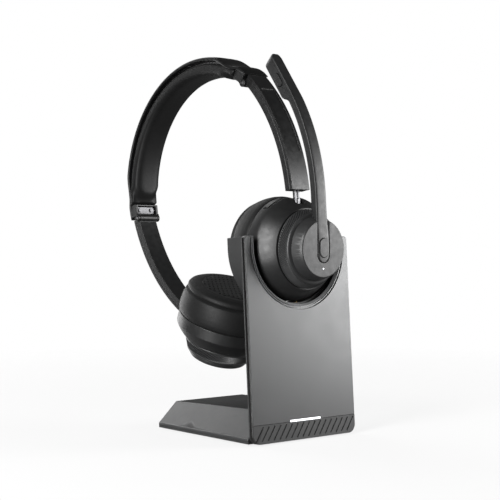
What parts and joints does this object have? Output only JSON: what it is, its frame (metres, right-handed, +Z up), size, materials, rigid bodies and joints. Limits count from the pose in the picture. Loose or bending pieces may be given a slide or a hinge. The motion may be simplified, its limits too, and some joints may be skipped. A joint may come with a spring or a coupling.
{
  "type": "office headset with charging stand",
  "caption": "On-ear wireless headset with a boom microphone, one ear cup docked in the U-shaped cradle of its leaning charging stand.",
  "frame": {"origin": "on the floor, at the middle of the stand's footprint, on the underside of the base mat", "axes": "+X to the right across the stand's front panel, +Y to the back of the stand, +Z up"},
  "size_m": [0.075, 0.1743, 0.2176],
  "materials": {
    "panel_skin": "satin metallic grey paint",
    "gloss_black": "polished",
    "dark_plastic": "fine moulded texture",
    "base_black": "semi-gloss moulded",
    "bezel": "satin",
    "light_lens": "frosted light pipe",
    "board": "solder mask",
    "rubber": "matt",
    "steel": "zinc plated",
    "contact_gold": "gold plated",
    "shell_black": "fine moulded texture",
    "driver": "moulded frame with mesh",
    "cushion_leather": "soft protein leather",
    "band_leather": "fine leatherette",
    "ring_black": "knurled",
    "hub_grey": "satin grey",
    "boom_grey": "satin",
    "rod_steel": "polished stainless",
    "arm_black": "fine moulded texture",
    "gloss_band": "smooth",
    "cell": "foil pouch"
  },
  "bodies": {
    "stand": {"front_panel": "panel_skin", "led_bar": "light_lens", "groove_strip": "dark_plastic", "cradle_bezel": "bezel", "stand_column": "gloss_black", "led_board": "board", "back_cover": "dark_plastic", "cradle_collar": "dark_plastic", "pin_carrier": "dark_plastic", "base_shell": "base_black", "base_plate": "dark_plastic", "base_mat": "rubber", "base_screws": "steel", "ballast": "steel", "charge_board": "board", "usb_socket": "steel"},
    "contact_pins": {"contact_pins": "contact_gold"},
    "right_cup": {"right_shell": "shell_black", "right_baffle": "dark_plastic", "right_driver": "driver", "right_cushion": "cushion_leather", "main_board": "board", "charge_contacts": "contact_gold"},
    "right_ring": {"right_ring": "ring_black"},
    "volume_rocker": {"volume_rocker": "shell_black"},
    "boom": {"boom_hub": "hub_grey", "boom_clip": "steel", "status_lens": "light_lens", "boom_arm": "boom_grey", "mic_pod": "boom_grey", "mic_capsule": "steel"},
    "call_button": {"call_button": "hub_grey"},
    "mute_button": {"mute_button": "boom_grey"},
    "right_yoke": {"right_yoke": "dark_plastic"},
    "right_rod": {"right_rod": "rod_steel"},
    "right_arm": {"right_arm": "arm_black", "right_arm_cover": "arm_black"},
    "band": {"band_cover": "gloss_band", "band_spring": "steel", "band_pad": "band_leather", "right_band_end": "arm_black", "left_band_end": "arm_black", "right_hinge_plate": "rod_steel", "left_hinge_plate": "rod_steel", "right_hinge_pin": "steel", "left_hinge_pin": "steel", "hinge_screws": "rod_steel"},
    "left_arm": {"left_arm": "arm_black", "left_arm_cover": "arm_black"},
    "left_rod": {"left_rod": "rod_steel"},
    "left_yoke": {"left_yoke": "dark_plastic"},
    "left_cup": {"left_shell": "shell_black", "left_baffle": "dark_plastic", "left_driver": "driver", "left_cushion": "cushion_leather", "left_hub": "ring_black", "battery": "cell"},
    "left_ring": {"left_ring": "ring_black"}
  },
  "joints": [
    {"name": "dock_lift", "type": "slide", "parent": "stand", "child": "right_cup", "axis": [0, 0.0663, 0.9978], "range_m": [0, 0.075]},
    {"name": "contact_pin_press", "type": "slide", "parent": "stand", "child": "contact_pins", "axis": [0, 0.0663, 0.9978], "range_m": [-0.0006, 0], "stiffness_N_per_m": 200},
    {"name": "boom_turn", "type": "hinge", "parent": "right_cup", "child": "boom", "pos_m": [0, -0.04916, 0.10416], "axis": [0, -1, 0], "range_deg": [-135, 135]},
    {"name": "call_button_press", "type": "slide", "parent": "boom", "child": "call_button", "axis": [0, 1, 0], "range_m": [0, 0.0006], "stiffness_N_per_m": 600},
    {"name": "mute_button_press", "type": "slide", "parent": "boom", "child": "mute_button", "axis": [1, 0, 0], "range_m": [0, 0.0005], "stiffness_N_per_m": 600},
    {"name": "volume_rock", "type": "hinge", "parent": "right_cup", "child": "volume_rocker", "pos_m": [-0.01249, -0.03026, 0.12922], "axis": [0, -1, 0], "range_deg": [-2, 2], "stiffness_Nm_per_rad": 0.2},
    {"name": "right_ring_turn", "type": "hinge", "parent": "right_cup", "child": "right_ring", "pos_m": [0, -0.04616, 0.10416], "axis": [0, -1, 0], "continuous": true},
    {"name": "left_ring_turn", "type": "hinge", "parent": "left_cup", "child": "left_ring", "pos_m": [0, 0.03241, 0.04706], "axis": [0, 0.3584, -0.9336], "continuous": true},
    {"name": "right_cup_tilt", "type": "hinge", "parent": "right_cup", "child": "right_yoke", "pos_m": [0, -0.03576, 0.12416], "axis": [1, 0, 0], "range_deg": [-7, 5.8]},
    {"name": "right_cup_swivel", "type": "hinge", "parent": "right_yoke", "child": "right_rod", "pos_m": [0, -0.03576, 0.12416], "axis": [0, -0.1243, -0.9922], "range_deg": [-45, 45]},
    {"name": "right_slider", "type": "hinge", "parent": "right_rod", "child": "right_arm", "pos_m": [0, 0.07023, 0.11997], "axis": [-1, 0, 0], "range_deg": [-1, 5.2]},
    {"name": "right_fold", "type": "hinge", "parent": "right_arm", "child": "band", "pos_m": [0, 0.00244, 0.19893], "axis": [-1, 0, 0], "range_deg": [0, 5.2]},
    {"name": "left_fold", "type": "hinge", "parent": "band", "child": "left_arm", "pos_m": [0, 0.10776, 0.12409], "axis": [1, 0, 0], "range_deg": [-3.7, 0]},
    {"name": "left_slider", "type": "hinge", "parent": "left_arm", "child": "left_rod", "pos_m": [0, 0.01089, 0.16214], "axis": [1, 0, 0], "range_deg": [-6.5, 2]},
    {"name": "left_cup_swivel", "type": "hinge", "parent": "left_rod", "child": "left_yoke", "pos_m": [0, 0.04825, 0.0616], "axis": [0, -0.8284, -0.5601], "range_deg": [-90, 15]},
    {"name": "left_cup_tilt", "type": "hinge", "parent": "left_yoke", "child": "left_cup", "pos_m": [0, 0.04825, 0.0616], "axis": [1, 0, 0], "range_deg": [-11, 11]}
  ]
}
